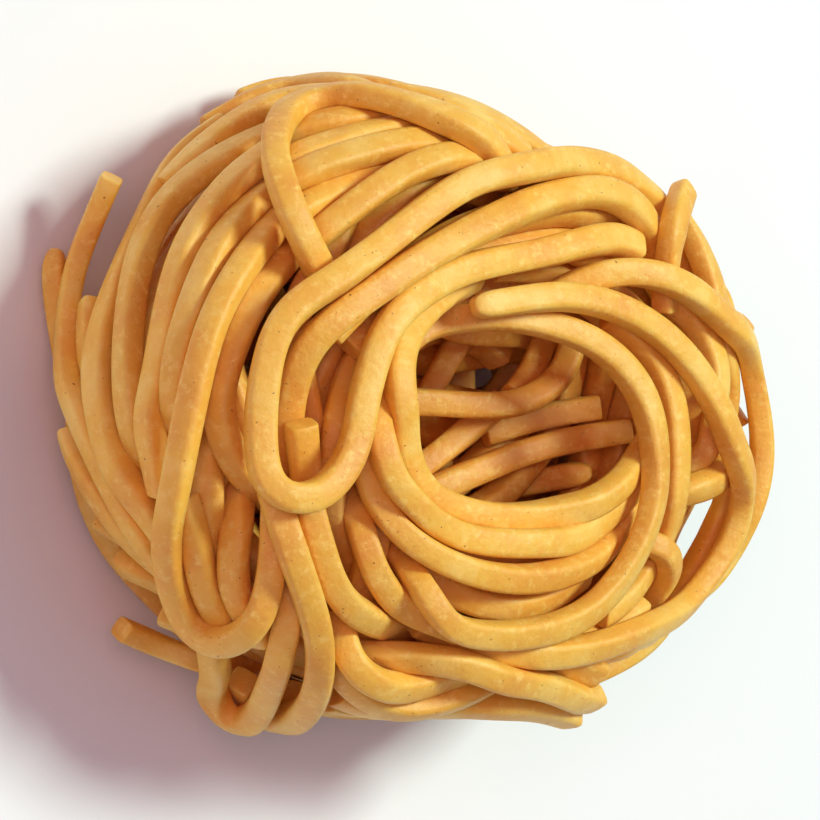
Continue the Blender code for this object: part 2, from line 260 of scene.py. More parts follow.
def smooth_line(corners: np.ndarray, step: float = 0.3) -> np.ndarray:
    """A centripetal Catmull-Rom curve through the corners.

    Args:
        corners: One place a row.
        step: Distance between the places of the curve.

    Returns:
        Places along the curve.
    """
    ends = np.vstack([2 * corners[0] - corners[1], corners, 2 * corners[-1] - corners[-2]])
    places = []
    for i in range(1, len(ends) - 2):
        knots = [0.0]
        for a, b in zip(ends[i - 1 : i + 2], ends[i : i + 3]):
            knots.append(knots[-1] + max(TINY, math.sqrt(float(np.linalg.norm(b - a)))))
        count = max(1, round(float(np.linalg.norm(ends[i + 1] - ends[i])) / step))
        at = np.linspace(knots[1], knots[2], count, endpoint=False)[:, None]
        rows = [np.repeat(ends[i + j][None], count, axis=0) for j in range(-1, 3)]
        for span in (1, 2, 3):
            for j in range(4 - span):
                left, right = (j, j + span) if span < 3 else (1, 2)
                share = (at - knots[left]) / (knots[right] - knots[left])
                rows[j] = rows[j] * (1 - share) + rows[j + 1] * share
        places.append(rows[0])
    return np.vstack([*places, ends[-2][None]])


def even_line(places: np.ndarray, step: float) -> np.ndarray:
    """The line with its places spread evenly.

    Args:
        places: One place a row.
        step: Wanted distance between places.

    Returns:
        Places an equal distance apart, with both ends kept.
    """
    run = np.concatenate([[0.0], np.cumsum(np.linalg.norm(np.diff(places, axis=0), axis=1))])
    count = max(4, round(run[-1] / step) + 1)
    at = np.linspace(0, run[-1], count)
    return np.column_stack([np.interp(at, run, places[:, k]) for k in range(3)])


@dataclass
class ShownNoodles:
    """The noodles that the view shows, by the part of the nest that they belong to."""

    view: View
    wall: dict[str, list[Waypoint]] = field(default_factory=lambda: {
        "free_end": [(-27, 21.6, -2), (-28.4, 18.4, 0), (-30.8, 12, 1.5), (-31.4, 5, 1.5),
                     (-31, 1.5, 1.5), (-24.6, -11.6, 2), (-19.5, -17.6, 6)],
        "low_winding": [(-31.4, -1.3, 3), (-31, -3.4, 3), (-26, -11.2, 3), (-21, -16, 6)],
        "short_end": [(-32.2, 15.2, 4), (-32.6, 12.5, 4), (-31.6, 5, 5), (-31, 1, 6)],
        "inner_end": [(-29.1, 10.3, 5), (-29.4, 7, 5), (-29, -1, 5)],
        "upper_left_end": [(-29.2, -9.7, 3.4), (-27.2, -10.9, 4.6), (-21.5, -15, 8)],
        "lower_end": [(-27.6, -13.4, 2.5), (-25.4, -14.3, 3.6), (-19, -17.2, 7)],
        "block_end": [(-23.4, -18.3, 3), (-21.2, -19.4, 3.5), (-18, -20.5, 5)],
        "lowest_end": [(-27, -19.9, 0.6), (-23.4, -21.5, 2.2), (-19.7, -23.1, 4.4), (-17, -24, 6)],
        "first": [(-16.5, 26, 5), (-19.8, 23.8, 4), (-22.6, 20.4, 3), (-28.6, 4.5, 2.2),
                  (-27.3, -3.2, 2.2), (-23.6, -9.4, 3), (-21.5, -12.6, 4.6)],
        "second": [(-10.5, 25.8, 4.4), (-16.8, 23, 1.8), (-22, 19, 1.4), (-25, 12.6, 1.4),
                   (-25.5, -3, 1.5), (-21.8, -13, 4.5)],
        "third": [(-12, 23.6, 5), (-17.3, 19.3, 2.4), (-20.9, 13.6, 1.6), (-23.2, -1, 2),
                  (-22.4, -8.5, 4.4)],
        "fourth": [(-11.5, 20.6, 5), (-14.2, 18.8, 3.6), (-18.3, 13.4, 1.6), (-21.7, 3, 1.6),
                   (-21.8, -8.5, 5)],
        "hairpin": [(-9.8, 19.4, 6), (-14.7, 13.8, 1.9), (-18, 8, 1), (-21.3, -6.2, 0.2),
                    (-22.1, -13.6, 0), (-20, -19.8, 0), (-17.8, -21.3, 0.2),
                    (-13.9, -19.2, 1.4), (-12.6, -13.6, 3.2), (-12.6, -6.5, 6)],
        "fifth": [(-8.5, 17, 6), (-14.6, 9.3, 1.7), (-17.7, 0.2, 2), (-16, -5, 3.4),
                  (-11, -9.6, 6.5)],
        "in_hairpin_left": [(-21.2, -7.4, 4.4), (-20.2, -10.6, 3.4), (-18.7, -16.6, 3),
                            (-15.4, -21.8, 4.2)],
        "in_hairpin_middle": [(-16.6, 3, 8.4), (-17.8, -2.8, 6.8), (-18.5, -7, 5),
                              (-18.4, -10.4, 4.6), (-17.4, -14.4, 4.8)],
        "in_hairpin_right": [(-14.4, 1, 8.4), (-15.4, -3.8, 6.6), (-15.9, -7.4, 4.8),
                             (-16.2, -11, 4.2), (-16.3, -16.4, 3.4), (-13.4, -21.6, 4.6)],
    })
    crown: dict[str, list[Waypoint]] = field(default_factory=lambda: {
        "loop": [(-7.4, 10.6, 4.2), (-8.6, 13, 1.4), (-11.3, 18.9, -1.4), (-12.5, 24.2, -1.3),
                 (-9.4, 27.8, -0.6), (-3, 28.1, 0.5), (6, 24.3, 0.9), (8.8, 20, 5)],
        "outline_left": [(-22.6, 19.6, 4.5), (-20.3, 22.3, 2.5), (-14.8, 26.5, 1.6),
                         (-11.3, 28, 2.5), (-3.5, 28.2, 4.2)],
        "cut_end": [(-19.2, 25.2, 2.2), (-14, 28.1, 2.6), (-10, 29, 3), (-5, 29, 3.6),
                    (0, 27, 5.5)],
        "back_end": [(-16.2, 27.6, 5), (-13.6, 28.8, 4.6), (-10.5, 29.2, 5)],
        "outline_middle": [(-12.5, 28.6, 4.4), (-9, 29.2, 4), (-5.5, 29.3, 3), (-2.3, 28.9, 3),
                           (4, 26.9, 4)],
        "outline_right": [(-3, 28.3, 5), (3.8, 27, 3), (9.8, 24.2, 2.8), (14.5, 20.4, 6)],
        "under_outline": [(1.5, 26.6, 4.4), (8, 24, 3.4), (10.6, 22.4, 4.6)],
        "in_loop_first": [(-12.2, 24.4, 4.2), (-11, 25.2, 3.6), (-4.6, 26.8, 3.2), (3, 25.6, 5.4)],
        "in_loop_second": [(-12.3, 21.6, 4), (-11, 22.5, 2.8), (-1.2, 25.5, 2.4), (5, 25, 5)],
        "in_loop_third": [(-12.2, 19.6, 4.4), (-11, 20.6, 3), (-1.6, 23.9, 2),
                          (4.6, 24.1, 3.6), (7, 22.8, 5.5)],
        "in_loop_fourth": [(-11.2, 16.9, 4.8), (-10, 17.8, 3.4), (-4.6, 21.1, 3.2),
                           (-1.6, 22.6, 4.4)],
        "in_loop_fifth": [(-10, 14.8, 4.8), (-9, 15.6, 3.2), (-0.9, 21.3, 1.6), (4.8, 23.2, 2.6),
                          (7, 22.2, 4.4)],
        "in_loop_sixth": [(-6.4, 13.4, 6), (-4.2, 16, 4.6), (0.8, 20.9, 2.8), (6, 22, 4)],
    })
    band: dict[str, list[Waypoint]] = field(default_factory=lambda: {
        "band": [(22.8, 18.4, 3.2), (17.4, 21.7, 1.4), (5.8, 20.7, 0.9), (-5.2, 12.7, 0.4),
                 (-12.2, 7.2, 0), (-12.9, -7.4, 0), (-8.5, -8.2, 0), (-5.3, -4.2, 0.3),
                 (-4.1, 2, 0.6), (-1.9, 7.9, 1.4), (3.6, 12.2, 2.6), (11.6, 14, 3.4),
                 (18.4, 15.4, 5), (20.8, 14.4, 6.5)],
        "second": [(21.8, 13.6, 6), (21.5, 16.2, 3.6), (18.2, 19.5, 2), (12.6, 19.2, 1.8),
                   (-5.2, 9.4, 1.6), (-9.7, 5.1, 3), (-11.3, -1, 5.2), (-10.8, -7, 6.4)],
        "cut_end": [(-10.2, -0.7, 3.4), (-9.8, -5, 3.6), (-9.4, -9.2, 5.2)],
        "behind": [(-5.6, 8.4, 5.5), (-9, 2.4, 5.8), (-9.8, -5, 6.2)],
        "under_upper": [(20, 17.2, 5.4), (12, 17.9, 4.4), (3, 15.2, 4), (-4.6, 9.6, 4.4), (-8, 6, 5.4)],
        "under_lower": [(19.4, 12.4, 7), (12, 15.6, 5.6), (4, 13.6, 5), (-2.6, 9, 4.6), (-6.4, 5, 5.6)],
        "behind_long": [(-4, 6.4, 5.4), (-5.9, 3, 5.6), (-7.2, -8, 5.4), (-4.8, -15.6, 5.8),
                        (-2.6, -18.8, 6)],
    })
    rings: dict[str, list[Waypoint]] = field(default_factory=lambda: {
        "round_tip": [(4.9, 9.1, 2.2), (14.8, 10.1, 1), (21.5, 7.6, 1), (26.4, 2.4, 1),
                      (29.2, -4.2, 1), (29.8, -7.8, 1), (29.3, -11.2, 1), (25.4, -17.2, 1.2),
                      (22.2, -19.5, 1.2), (10, -22.6, 1.7), (-0.6, -19.4, 5)],
        "upper": [(-1.4, 5, 8), (1, 7.4, 7.4), (5.6, 8.3, 6), (11, 7.9, 4), (17.2, 5.6, 2),
                  (21.2, 0.6, 0.8), (21.9, -9.2, 0.5), (16.8, -17.9, 0.5), (10, -20.6, 0.5),
                  (3.9, -19.7, 1), (0.3, -15.9, 2), (-4.2, -9.2, 6)],
        "falling": [(17, 8.6, 5), (19.8, 7.1, 3.6), (23.2, 2.2, 2.4), (23.2, -10.6, 3),
                    (19.6, -17, 3.6), (16.4, -19.4, 4)],
        "eye_edge": [(6, 12.4, 6), (0.9, 9.2, 2.8), (-1.5, 4, 1.8), (0.7, -7.2, 2),
                     (12.8, -10.1, 2.8), (18.3, -7.6, 3), (20.9, -4.4, 4.6), (22.6, -0.6, 6.6)],
        "eye_second": [(-2.2, 4.6, 4.5), (-2.9, -1.8, 2.2), (-0.8, -7.9, 1.6),
                       (4.4, -11.7, 1.7), (15.2, -11.2, 2), (20.2, -7, 3.4), (21.6, -4, 5)],
        "eye_third": [(-3.4, 1.6, 4.6), (-4.1, -4.8, 1.8), (-1.3, -10.7, 0.7),
                      (4.5, -14.6, 0.6), (11.6, -15.5, 0.9), (17.4, -13, 1.8),
                      (20.9, -7.4, 4.4)],
        "handle": [(12, 9.8, 6), (17.4, 12.2, 2.6), (23.4, 11.7, 1.4), (28.6, 7.5, 1.2),
                   (30.4, 4.5, 1.4), (31.7, -5.4, 2), (27.8, -14.6, 3.6), (25, -17.4, 4)],
        "right_outline": [(22.6, 19.2, 5), (24.6, 16.9, 3.6), (27.3, 10.8, 3), (28.4, 1, 4),
                          (26.8, -6, 5)],
        "upright_end": [(24.7, 20.2, 0), (23.4, 16, 1.4), (22.8, 8, 5)],
        "right_end": [(30.9, 7.2, 4.2), (26.6, 8, 5), (23.6, 8, 6)],
        "behind_handle": [(22.4, 10.4, 4.8), (25, 8.8, 4.4), (27.6, 3.8, 4.8), (27.2, 0, 5)],
        "behind_tip": [(24.6, 5.4, 5), (26.6, -5.2, 4.4), (25.6, -8.6, 5)],
        "right_bar": [(22.4, -8.2, 4.5), (27, -6.7, 3.6), (29, -5.4, 3.6)],
        "short_bar": [(29.6, -2, 4.4), (29.8, -0.8, 4.4), (27.4, -0.6, 5)],
        "hook": [(19.8, -11.9, 4.2), (21.6, -12, 3), (23, -12.8, 2.4), (23.5, -14.2, 2.4),
                 (22.8, -16.2, 3.4), (20.8, -18.8, 5.4), (18, -20.6, 6.6)],
        "lower_right": [(21, -17.8, 5.8), (18.2, -19.9, 3.6), (7, -21.9, 3), (3.4, -20.8, 4.4)],
        "under_rings": [(-2, -11.2, 4.6), (3.6, -16.8, 3.8), (10.6, -18, 3.8), (16, -14.6, 5)],
        "under_rings_left": [(-7, -3.4, 7), (-5.4, -8.8, 5), (-3.2, -15.2, 3.2), (-1.2, -17.6, 2.9),
                             (4.6, -20.4, 4)],
    })
    lower: dict[str, list[Waypoint]] = field(default_factory=lambda: {
        "right_hairpin": [(-12.8, -6.6, 5), (-11.2, -12, 1), (-8.3, -21.4, 0.8),
                          (-9, -26.7, 1.6), (-13.1, -28.2, 3.4), (-15, -27, 5),
                          (-16, -24.6, 6)],
        "left_hairpin": [(-19.6, -12.8, 5.5), (-19, -16.4, 4.6), (-17.8, -23.4, 3),
                         (-17.7, -26, 2.4), (-16.8, -28.4, 2), (-15.2, -28.6, 1.6),
                         (-11.9, -22, 1.7), (-10.8, -16.2, 3), (-11.4, -9.6, 5)],
        "bar": [(-9.8, -6.8, 5), (-9.2, -9.6, 2.6), (-6, -18, 1.4), (3.6, -20.6, 5)],
        "upper_cup": [(-6.4, -18, 4.8), (-6, -22.6, 2.2), (-2.4, -25.3, 1.8), (5.6, -23.6, 4.2)],
        "lower_cup": [(-7, -22.2, 5), (-6, -24.4, 3.6), (-1.3, -27.3, 2.6), (6.8, -25.1, 3.4),
                      (9, -23.4, 4.6)],
        "cut_bar": [(-6, -22.4, 5.4), (-4, -22.7, 4.4), (3.2, -23, 2.8), (13.8, -25.6, 2.2),
                    (16.6, -26.4, 2)],
        "lowest_bar": [(-7.4, -25.8, 5), (-3.6, -27.2, 5), (4.4, -26.9, 4.6), (11.6, -27.2, 3),
                       (15, -28, 2.4)],
        "right_block_end": [(16.9, -24.4, 3.4), (14.4, -23.6, 3.6), (11, -22.8, 4.6)],
    })
    floor: dict[str, list[Waypoint]] = field(default_factory=lambda: {
        "bent": [(-4, 0.4, 20), (0, 0.6, 19), (9.8, 0.5, 17.6), (13.8, 3.3, 17),
                 (15, 8.2, 17.4)],
        "beside_bent": [(8.6, 0.6, 20.4), (10.3, 2.4, 20), (13.2, 9, 21)],
        "square_end": [(6, -2.4, 21.5), (12.6, -0.6, 19.6), (17.7, 0.2, 17)],
        "long_end": [(0.6, -7.9, 20.5), (12, -3.5, 18.4), (20.4, -1.9, 15.4)],
        "tip": [(8, -7.2, 22.6), (11.4, -6.6, 21.4), (17, -5.7, 16)],
        "slanting": [(-1, -6.8, 21.5), (3.4, -3.4, 21.5), (8.4, 0.6, 22.4)],
        "steep": [(0.6, -0.6, 24), (2.4, 3, 23.6), (6, 9, 23)],
        "upper": [(0.4, 9, 22), (3.6, 7.2, 21.6), (11.4, 6.6, 22)],
    })
    round_ends: tuple[str, ...] = ("wall_short_end", "wall_lower_end", "rings_round_tip",
                                   "rings_right_end")
    round_last_ends: tuple[str, ...] = ("floor_tip",)
    widths: dict[str, float] = field(default_factory=lambda: {
        "wall": 2.5, "crown": 2.45, "band": 2.75, "rings": 2.5, "lower": 2.6, "floor": 2.35})
    thin: tuple[str, ...] = ("wall_free_end", "wall_short_end", "wall_lowest_end",
                             "rings_upright_end", "rings_hook", "crown_back_end")
    thin_width: float = 2.25

    def noodles(self) -> list[Noodle]:
        """Every shown noodle.

        Returns:
            The noodles, each on its own route.
        """
        made = []
        for part in self.widths:
            for name, route in getattr(self, part).items():
                full = f"{part}_{name}"
                corners = np.array([self.view.place(point) for point in route])
                made.append(Noodle(
                    full, smooth_line(corners),
                    width=self.thin_width if full in self.thin else self.widths[part],
                    first_end=End.ROUND if full in self.round_ends else End.CUT,
                    last_end=End.ROUND if full in self.round_last_ends else End.CUT,
                    facing=Facing.VIEW if part == "floor" else Facing.OUT))
        return made


@dataclass(frozen=True)
class Bowl:
    """The hollow round which the noodles are wound."""

    radii: Triple = (21.5, 13.5, 17.3)
    middle: Triple = (5.0, -0.2, 28.5)


@dataclass
class HiddenWindings:
    """Windings that the view doesn't show whole: turned-away sides, underside, bowl and filling.

    Each of the away windings is a height, a first and a last angle, a rise and a phase, and each of
    the underside's loops a share of the outline, a first and a last angle.
    """

    form: NestForm
    bowl: Bowl
    away: tuple[tuple[float, float, float, float, float], ...] = (
        (4.4, -124, 136, 1.2, 0.0),
        (7.6, -116, 128, -1.6, 1.9),
        (10.8, -112, 118, 2.2, 3.1),
        (14.2, -108, 112, -2.4, 0.7),
        (17.6, -104, 104, 2.0, 2.4),
        (21.0, -92, 98, -2.0, 1.2),
        (24.4, -84, 92, 1.4, 2.9),
        (27.4, -64, 84, -0.8, 0.4),
    )
    away_depths: tuple[float, float] = (0.2, 1.5)
    underside: tuple[Triple, ...] = (
        (0.18, 0, 300), (0.32, 90, 430), (0.46, 200, 545), (0.60, 20, 372),
        (0.75, 150, 480), (0.87, 160, 300),
    )
    underside_height: float = 1.2
    underside_wander: float = 0.035
    fill_layers: tuple[tuple[float, int], ...] = ((3.6, 7), (6.4, 5))
    fill_heights: tuple[float, float] = (4.0, 25.0)
    fill_limits: tuple[float, float] = (3.4, 28.4)
    fill_wander: float = 2.6
    fill_turn: float = 350.0
    bowl_rings: int = 5
    bowl_drops: tuple[float, float] = (0.25, 0.87)
    bowl_lowest: float = 0.96
    bowl_wander: float = 1.2
    bowl_turn: float = 345.0
    under_bowl_levels: tuple[float, float] = (9.8, 7.0)
    under_bowl_count: int = 6
    under_bowl_step: float = 3.2
    under_bowl_reach: float = 15.0
    under_bowl_slant: float = 14.0
    angle_step: float = 6.0
    seed: int = 7

    def _turns(self, first: float, last: float) -> np.ndarray:
        """Angles in radians, an equal step apart, between two angles in degrees."""
        return np.radians(np.arange(first, last + 1, self.angle_step))

    def _ring(self, name: str, layer: Layer, angles: np.ndarray, levels: np.ndarray,
              depths: np.ndarray | float) -> Noodle:
        """A winding that follows the form.

        Args:
            name: Its name.
            layer: Where it lies.
            angles: Angles round the axis.
            levels: Its height at each.
            depths: How far below the form it lies at each.

        Returns:
            The winding.
        """
        reach = self.form.radius(angles, levels, depths)
        corners = np.column_stack([reach * np.cos(angles), reach * np.sin(angles), levels])
        return Noodle(name, smooth_line(corners), layer)

    def away_windings(self) -> list[Noodle]:
        """The windings round the sides turned away.

        Returns:
            The windings, lowest first.
        """
        made = []
        near, far = self.away_depths
        for number, (height, first, last, rise, phase) in enumerate(self.away):
            angles = self._turns(first, last)
            levels = height + rise * np.sin(2 * angles + phase)
            depths = near + (far - near) * np.cos(2 * angles + 2 * phase) ** 2
            made.append(self._ring(f"away_{number}", Layer.OUTER, angles, levels, depths))
        return made

    def underside_loops(self) -> list[Noodle]:
        """The loops that the nest lies on.

        Returns:
            The loops, innermost first.
        """
        made = []
        wide, deep = self.form.radii
        for number, (size, first, last) in enumerate(self.underside):
            angles = self._turns(first, last)
            shares = size + self.underside_wander * np.sin(2 * angles + number)
            levels = np.maximum(self.underside_height, self.form.low_height(shares))
            corners = np.column_stack([
                wide * shares * np.cos(angles), deep * shares * np.sin(angles), levels])
            made.append(Noodle(f"underside_{number}", smooth_line(corners), Layer.OUTER))
        return made

    def filling(self, draw: np.random.Generator) -> list[Noodle]:
        """Windings in layers under the outer ones, each wandering up and down.

        Args:
            draw: Source of the uneven starts.

        Returns:
            The windings, outer layer first.
        """
        made = []
        low, high = self.fill_heights
        for depth, count in self.fill_layers:
            for number in range(count):
                height = low + depth / 3 + (high - low - depth / 2) * number / (count - 1)
                turn, phase = draw.uniform(0, 360), draw.uniform(0, math.tau)
                angles = self._turns(turn, turn + self.fill_turn)
                levels = height + self.fill_wander * np.sin(1.5 * angles + phase)
                made.append(self._ring(f"fill_{depth:.0f}_{number}", Layer.INNER, angles,
                                       np.clip(levels, *self.fill_limits), depth))
        return made

    def lining(self, draw: np.random.Generator) -> list[Noodle]:
        """Windings round the wall of the bowl.

        Args:
            draw: Source of the uneven starts.

        Returns:
            The windings, highest first.
        """
        made = []
        (mx, my, mz), (rx, ry, rz) = self.bowl.middle, self.bowl.radii
        for drop in rz * np.linspace(*self.bowl_drops, self.bowl_rings):
            turn, phase = draw.uniform(0, 360), draw.uniform(0, math.tau)
            angles = self._turns(turn, turn + self.bowl_turn)
            low = drop + self.bowl_wander * np.sin(2 * angles + phase)
            low = np.minimum(low, self.bowl_lowest * rz)
            share = np.sqrt(1 - (low / rz) ** 2)
            corners = np.column_stack([
                mx + rx * share * np.cos(angles), my + ry * share * np.sin(angles), mz - low])
            made.append(Noodle(f"bowl_{len(made)}", smooth_line(corners), Layer.INNER))
        return made

    def under_bowl(self, draw: np.random.Generator) -> list[Noodle]:
        """Straight lengths in crossing layers under the bowl's floor.

        Args:
            draw: Source of the uneven headings.

        Returns:
            The lengths.
        """
        made = []
        mx, my, _ = self.bowl.middle
        reaches = self.under_bowl_reach * np.array([-1.0, 0.0, 1.0])
        for layer, level in enumerate(self.under_bowl_levels):
            for number in range(self.under_bowl_count):
                offset = self.under_bowl_step * (number - (self.under_bowl_count - 1) / 2)
                slant = draw.uniform(-self.under_bowl_slant, self.under_bowl_slant)
                heading = math.radians(90 * layer + slant)
                c, s = math.cos(heading), math.sin(heading)
                corners = np.column_stack([
                    mx + reaches * c - offset * s, my + reaches * s + offset * c,
                    np.full(3, level)])
                made.append(Noodle(f"under_bowl_{layer}_{number}", smooth_line(corners),
                                   Layer.INNER))
        return made

    def noodles(self) -> list[Noodle]:
        """Every winding that isn't shown whole.

        Returns:
            The windings.
        """
        filling, lining = np.random.default_rng(self.seed), np.random.default_rng(self.seed + 1)
        return [*self.away_windings(), *self.underside_loops(), *self.filling(filling),
                *self.lining(lining), *self.under_bowl(lining)]


@dataclass
class Strands:
    """The places along all noodles in one array, and what belongs to each place."""

    target: np.ndarray
    owner: np.ndarray
    before: np.ndarray
    after: np.ndarray
    shown: np.ndarray
    inner: np.ndarray
    half_wide: np.ndarray
    facing_view: np.ndarray

    @classmethod
    def of(cls, noodles: list[Noodle], step: float) -> "Strands":
        """Spreads places evenly along every noodle.

        Args:
            noodles: The noodles, each on its own route.
            step: Distance between places.

        Returns:
            The noodles' places.
        """
        lines = [even_line(noodle.line, step) for noodle in noodles]
        owner = np.repeat(np.arange(len(lines)), [len(line) for line in lines])
        numbers = np.arange(len(owner))
        change = owner[1:] != owner[:-1]
        layer = np.array([noodle.layer.value for noodle in noodles])[owner]
        return cls(
            target=np.vstack(lines),
            owner=owner,
            before=numbers - ~np.concatenate([[True], change]),
            after=numbers + ~np.concatenate([change, [True]]),
            shown=layer == Layer.SHOWN.value,
            inner=layer == Layer.INNER.value,
            half_wide=np.array([noodle.width / 2 for noodle in noodles])[owner],
            facing_view=np.array([noodle.facing is Facing.VIEW for noodle in noodles])[owner])

    def neighbours(self, values: np.ndarray) -> np.ndarray:
        """The sum of the values before and after each place along its noodle."""
        return values[self.before] + values[self.after]

    def split(self, *arrays: np.ndarray) -> list[tuple[np.ndarray, ...]]:
        """The arrays cut up by noodle."""
        cuts = np.flatnonzero(np.diff(self.owner)) + 1
        return list(zip(*(np.split(array, cuts) for array in arrays)))


@dataclass
class Settler:
    """Pushes noodles apart until they only touch, and keeps each near its route.

    Each gap is the middle, half sizes and turn of an ellipse in the view that hidden noodles leave
    free, and each flat a direction in the view with how far hidden noodles may reach along it.
    """

    view: View
    bowl: Bowl
    thickness_share: float = 0.88
    corner_share: float = 0.43
    step: float = 1.15
    rounds: int = 340
    search_every: int = 10
    search_rows: int = 1000
    reach: float = 4.2
    own_places_apart: int = 5
    push: float = 1.1
    largest_push: float = 1.2
    sideways_share: float = 0.25
    shown_mobility: float = 0.45
    spread: float = 0.5
    free_rounds: int = 60
    smoothing_passes: int = 3
    quick_evening: int = 3
    last_evening: int = 5
    pull_sideways: float = 0.08
    pull_along_view: float = 0.008
    pull_hidden: float = 0.004
    outer_depth: float = 2.6
    inner_depth: float = 3.2
    inner_depth_in_view: float = 6.0
    in_view_from: float = -0.1
    in_view_range: float = 0.4
    least_lean: float = 0.4
    box_inset: Triple = (0.4, 0.4, 1.1)
    floor_gap: float = 1.25
    gap_edge: float = 1.4
    gap_pull: float = 0.5
    least_share: float = 0.05
    least_inside: float = 0.2
    gaps: tuple[tuple[float, float, float, float, float], ...] = (
        (26.2, -11.8, 1.9, 5.2, -0.5),
        (29.8, 1.2, 0.7, 1.9, 0.0),
    )
    flats: tuple[Triple, ...] = (
        (0.375, 0.927, 25.6),
        (0.0, -1.0, 27.0),
        (-0.735, -0.678, 28.4),
    )

    def settle(self, noodles: list[Noodle]) -> Settled:
        """Settles all noodles together.

        Args:
            noodles: The noodles, each on its own route.

        Returns:
            For each noodle its places and the direction that its flat side faces at each.
        """
        strands = Strands.of(noodles, self.step)
        places = strands.target.copy()
        for turn in range(self.rounds):
            if turn == self.rounds - self.free_rounds:
                for _ in range(self.smoothing_passes):
                    places = 0.5 * places + 0.25 * strands.neighbours(places)
                strands.target = places.copy()
            if turn % self.search_every == 0:
                pairs = self._near_pairs(places, strands.owner)
                normals = self._normals(places, strands, self.quick_evening)
                sides = np.cross(places[strands.after] - places[strands.before], normals)
                sides /= np.linalg.norm(sides, axis=1, keepdims=True) + TINY
            unit, overlap = self._overlaps(places, strands, pairs, sides, normals)
            places = places + self._pushes(strands, pairs, unit, overlap)
            places = self._keep_in(self._pull_back(places, strands), strands)
        settled = strands.split(places, self._normals(places, strands, self.last_evening))
        length = sum(np.linalg.norm(np.diff(line, axis=0), axis=1).sum() for line, _ in settled)
        LOG.info("settled %d noodles, %.2f m long, worst overlap %.2f mm",
                 len(noodles), length * MM, float(overlap.max()))
        return settled

    def _near_pairs(self, places: np.ndarray, owner: np.ndarray) -> tuple[np.ndarray, np.ndarray]:
        """Pairs of places near enough to touch, other than neighbours along one noodle.

        Args:
            places: One place a row.
            owner: The noodle that each belongs to.

        Returns:
            The numbers of the one and of the other place of each pair.
        """
        found = []
        squares = (places**2).sum(axis=1)
        numbers = np.arange(len(places))
        for start in range(0, len(places), self.search_rows):
            rows = slice(start, start + self.search_rows)
            gap = squares[rows, None] + squares[None] - 2 * places[rows] @ places.T
            one, other = np.nonzero(gap < self.reach**2)
            one = one + start
            beyond = numbers[other] - numbers[one] > self.own_places_apart
            keep = (one < other) & ((owner[one] != owner[other]) | beyond)
            found.append((one[keep], other[keep]))
        return np.concatenate([f[0] for f in found]), np.concatenate([f[1] for f in found])

    def _half_size(self, unit: np.ndarray, side: np.ndarray, normal: np.ndarray) -> np.ndarray:
        """How far the rounded section reaches in a direction, as a share of its half width.

        Args:
            unit: The direction.
            side: The direction across the noodle's flat side.
            normal: The direction that its flat side faces.

        Returns:
            The share for each row.
        """
        wide = np.abs((unit * side).sum(axis=1)) * (1 - self.corner_share)
        thick = np.abs((unit * normal).sum(axis=1)) * (self.thickness_share - self.corner_share)
        return wide + thick + self.corner_share

    def _normals(self, places: np.ndarray, strands: Strands, smoothing: int) -> np.ndarray:
        """The direction that the flat side faces, square to the noodle and smooth along it.

        Args:
            places: One place a row.
            strands: What belongs to each place.
            smoothing: How many times the directions are evened out.

        Returns:
            A unit direction for each place.
        """
        out = self.view.form.outward(places)
        out[strands.facing_view] = self.view.axes[2]
        for _ in range(smoothing):
            out = out + strands.neighbours(out)
            out /= np.linalg.norm(out, axis=1, keepdims=True)
        along = places[strands.after] - places[strands.before]
        along /= np.linalg.norm(along, axis=1, keepdims=True) + TINY
        out -= (out * along).sum(axis=1, keepdims=True) * along
        return out / (np.linalg.norm(out, axis=1, keepdims=True) + TINY)

    def _overlaps(self, places: np.ndarray, strands: Strands,
                  pairs: tuple[np.ndarray, np.ndarray], sides: np.ndarray,
                  normals: np.ndarray) -> tuple[np.ndarray, np.ndarray]:
        """How deep the noodles of each pair lie in each other.

        Args:
            places: One place a row.
            strands: What belongs to each place.
            pairs: The one and the other place of each pair.
            sides: The direction across the flat side at each place.
            normals: The direction that the flat side faces at each place.

        Returns:
            The direction from the one to the other of each pair, and the overlap.
        """
        one, other = pairs
        unit = places[other] - places[one]
        length = np.linalg.norm(unit, axis=1) + TINY
        unit /= length[:, None]
        need = self._half_size(unit, sides[one], normals[one]) * strands.half_wide[one]
        need += self._half_size(unit, sides[other], normals[other]) * strands.half_wide[other]
        return unit, np.clip(need - length, 0, self.largest_push)

    def _pushes(self, strands: Strands, pairs: tuple[np.ndarray, np.ndarray],
                unit: np.ndarray, overlap: np.ndarray) -> np.ndarray:
        """The moves that take overlapping places apart, mostly along the view for shown ones.

        Args:
            strands: What belongs to each place.
            pairs: The one and the other place of each pair.
            unit: The direction from the one to the other.
            overlap: How deep they lie in each other.

        Returns:
            A move for each place.
        """
        hit = overlap > 0
        one, other, unit, overlap = pairs[0][hit], pairs[1][hit], unit[hit], overlap[hit]
        mobility = np.where(strands.shown, self.shown_mobility, 1.0)
        weight = mobility[one] + mobility[other]
        move = np.zeros((len(strands.owner), 3))
        hits = np.zeros(len(move))
        for index, sign in ((one, -1.0), (other, 1.0)):
            np.add.at(move, index, unit * (sign * mobility[index] / weight * overlap)[:, None])
            np.add.at(hits, index, 1.0)
        move *= (self.push / np.sqrt(np.maximum(hits, 1.0)))[:, None]
        toward = self.view.axes[2]
        sideways = move - (move @ toward)[:, None] * toward
        return move - np.where(strands.shown, 1 - self.sideways_share, 0.0)[:, None] * sideways

